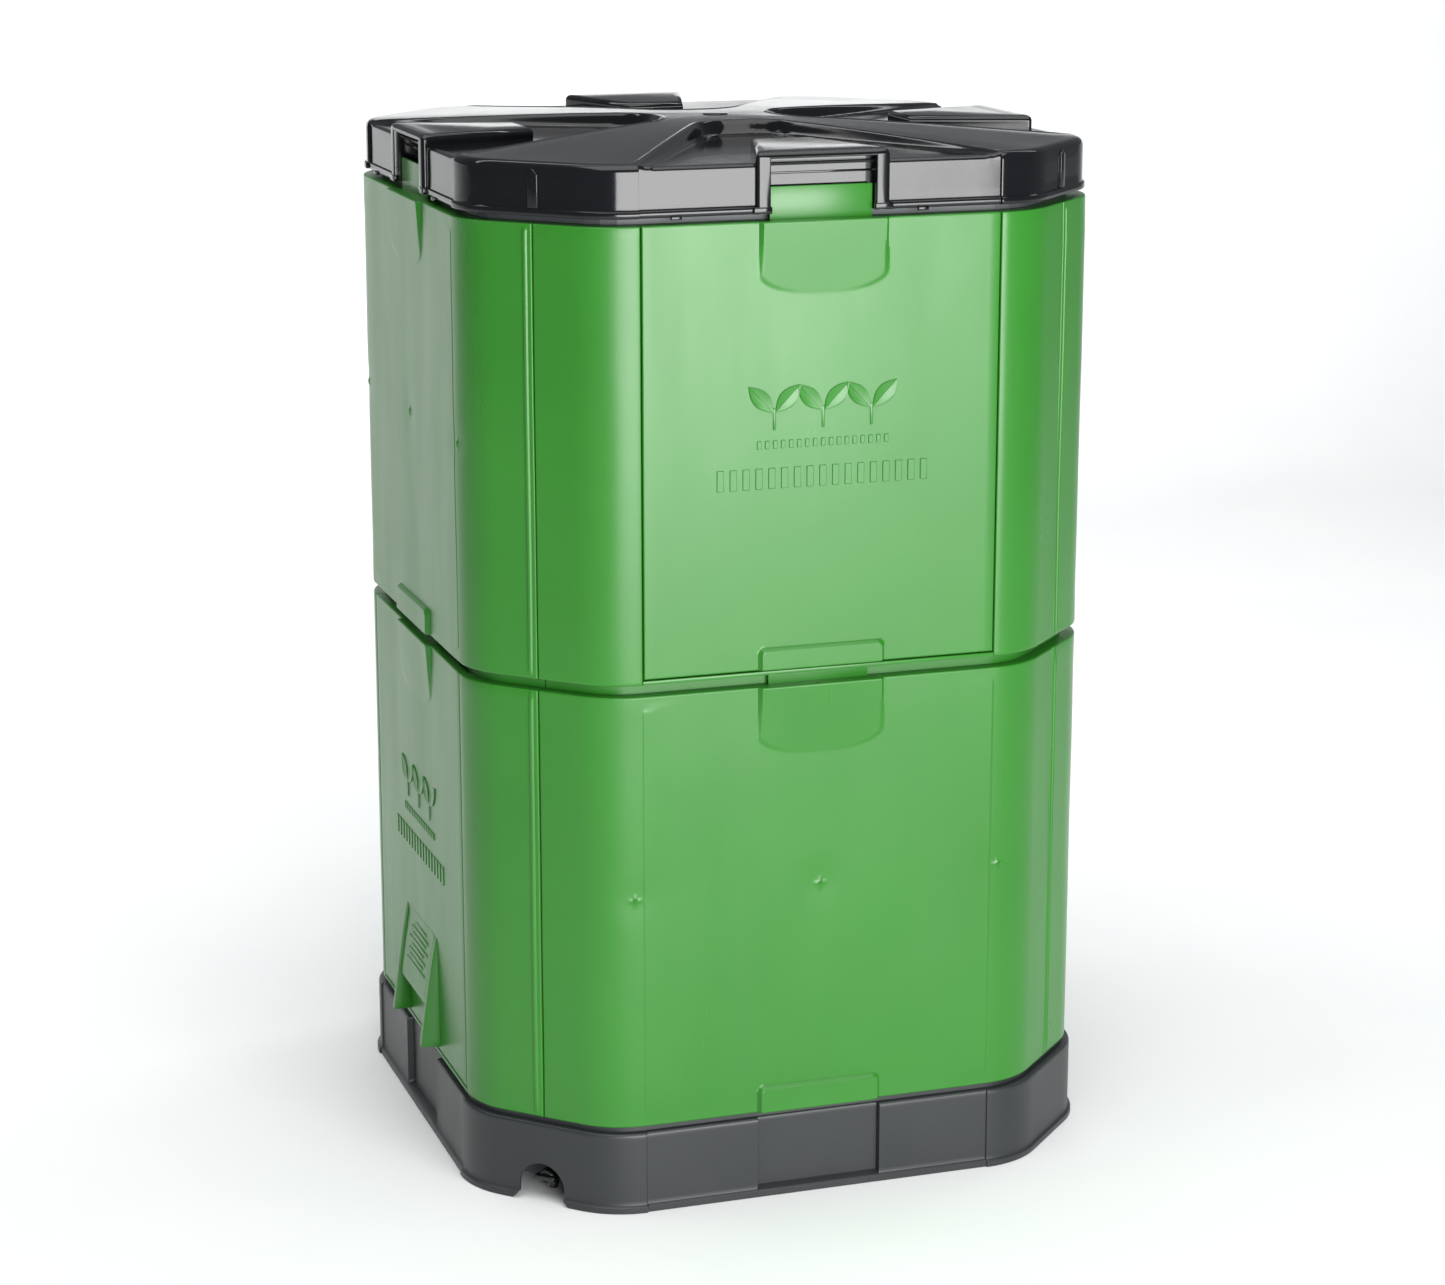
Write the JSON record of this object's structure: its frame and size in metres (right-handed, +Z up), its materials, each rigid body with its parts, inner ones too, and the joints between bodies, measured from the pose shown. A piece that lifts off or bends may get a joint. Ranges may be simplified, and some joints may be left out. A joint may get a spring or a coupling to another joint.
{
  "type": "compost bin",
  "caption": "Free-standing two-tier insulated garden compost bin with a lift-off lid, lower side doors, a central aeration column, and a base sump with a drain tap.",
  "frame": {"origin": "on the floor under the middle of the bin", "axes": "+Z up; the front with the hatch in its upper tier faces -Y; the doors face -X and +X; the tap looks out of the corner between -X and -Y"},
  "size_m": [0.784, 0.76, 1.19],
  "materials": {
    "green_wall": "satin",
    "green_inner": "satin",
    "lid_black": "gloss",
    "base_black": "satin",
    "grey_plastic": "satin",
    "tap_black": "satin",
    "foam": "matte",
    "rubber": "matte"
  },
  "bodies": {
    "root": {"base_shell": "base_black", "sump_tray": "grey_plastic", "drain_grate": "grey_plastic", "lung_lower_front": "grey_plastic", "lung_lower_back": "grey_plastic", "lung_upper_front": "grey_plastic", "lung_upper_back": "grey_plastic", "lung_cap": "grey_plastic", "tap_body": "tap_black", "tap_nut": "tap_black", "tap_washer": "rubber", "front_lower_outer_skin": "green_wall", "front_lower_insulation": "foam", "front_lower_inner_skin": "green_inner", "front_upper_frame_outer": "green_wall", "front_upper_frame_insulation": "foam", "front_upper_frame_inner": "green_inner", "front_hatch_outer": "green_wall", "front_hatch_insulation": "foam", "front_hatch_inner": "green_inner", "back_lower_outer_skin": "green_wall", "back_lower_insulation": "foam", "back_lower_inner_skin": "green_inner", "back_upper_frame_outer": "green_wall", "back_upper_frame_insulation": "foam", "back_upper_frame_inner": "green_inner", "back_hatch_outer": "green_wall", "back_hatch_insulation": "foam", "back_hatch_inner": "green_inner", "left_upper_outer_skin": "green_wall", "left_upper_insulation": "foam", "left_upper_inner_skin": "green_inner", "left_lower_frame_outer": "green_wall", "left_lower_frame_insulation": "foam", "left_lower_frame_inner": "green_inner", "right_upper_outer_skin": "green_wall", "right_upper_insulation": "foam", "right_upper_inner_skin": "green_inner", "right_lower_frame_outer": "green_wall", "right_lower_frame_insulation": "foam", "right_lower_frame_inner": "green_inner"},
    "tap_knob": {"tap_knob": "tap_black"},
    "door_left": {"left_door_outer": "green_wall", "left_door_insulation": "foam", "left_door_inner": "green_inner"},
    "door_right": {"right_door_outer": "green_wall", "right_door_insulation": "foam", "right_door_inner": "green_inner"},
    "lid": {"lid_outer": "lid_black", "lid_liner": "grey_plastic", "lid_insulation": "foam"}
  },
  "joints": [
    {"name": "lid_lift", "type": "slide", "parent": "root", "child": "lid", "axis": [0, 0, 1], "range_m": [0, 0.3]},
    {"name": "left_door_hinge", "type": "hinge", "parent": "root", "child": "door_left", "pos_m": [-0.36, 0, 0.609], "axis": [0, 1, 0], "range_deg": [0, 35]},
    {"name": "right_door_hinge", "type": "hinge", "parent": "root", "child": "door_right", "pos_m": [0.36, 0, 0.609], "axis": [0, -1, 0], "range_deg": [0, 35]},
    {"name": "tap_turn", "type": "hinge", "parent": "root", "child": "tap_knob", "pos_m": [-0.29767, -0.29767, 0.026], "axis": [-0.7071, -0.7071, 0], "range_deg": [0, 90]}
  ]
}
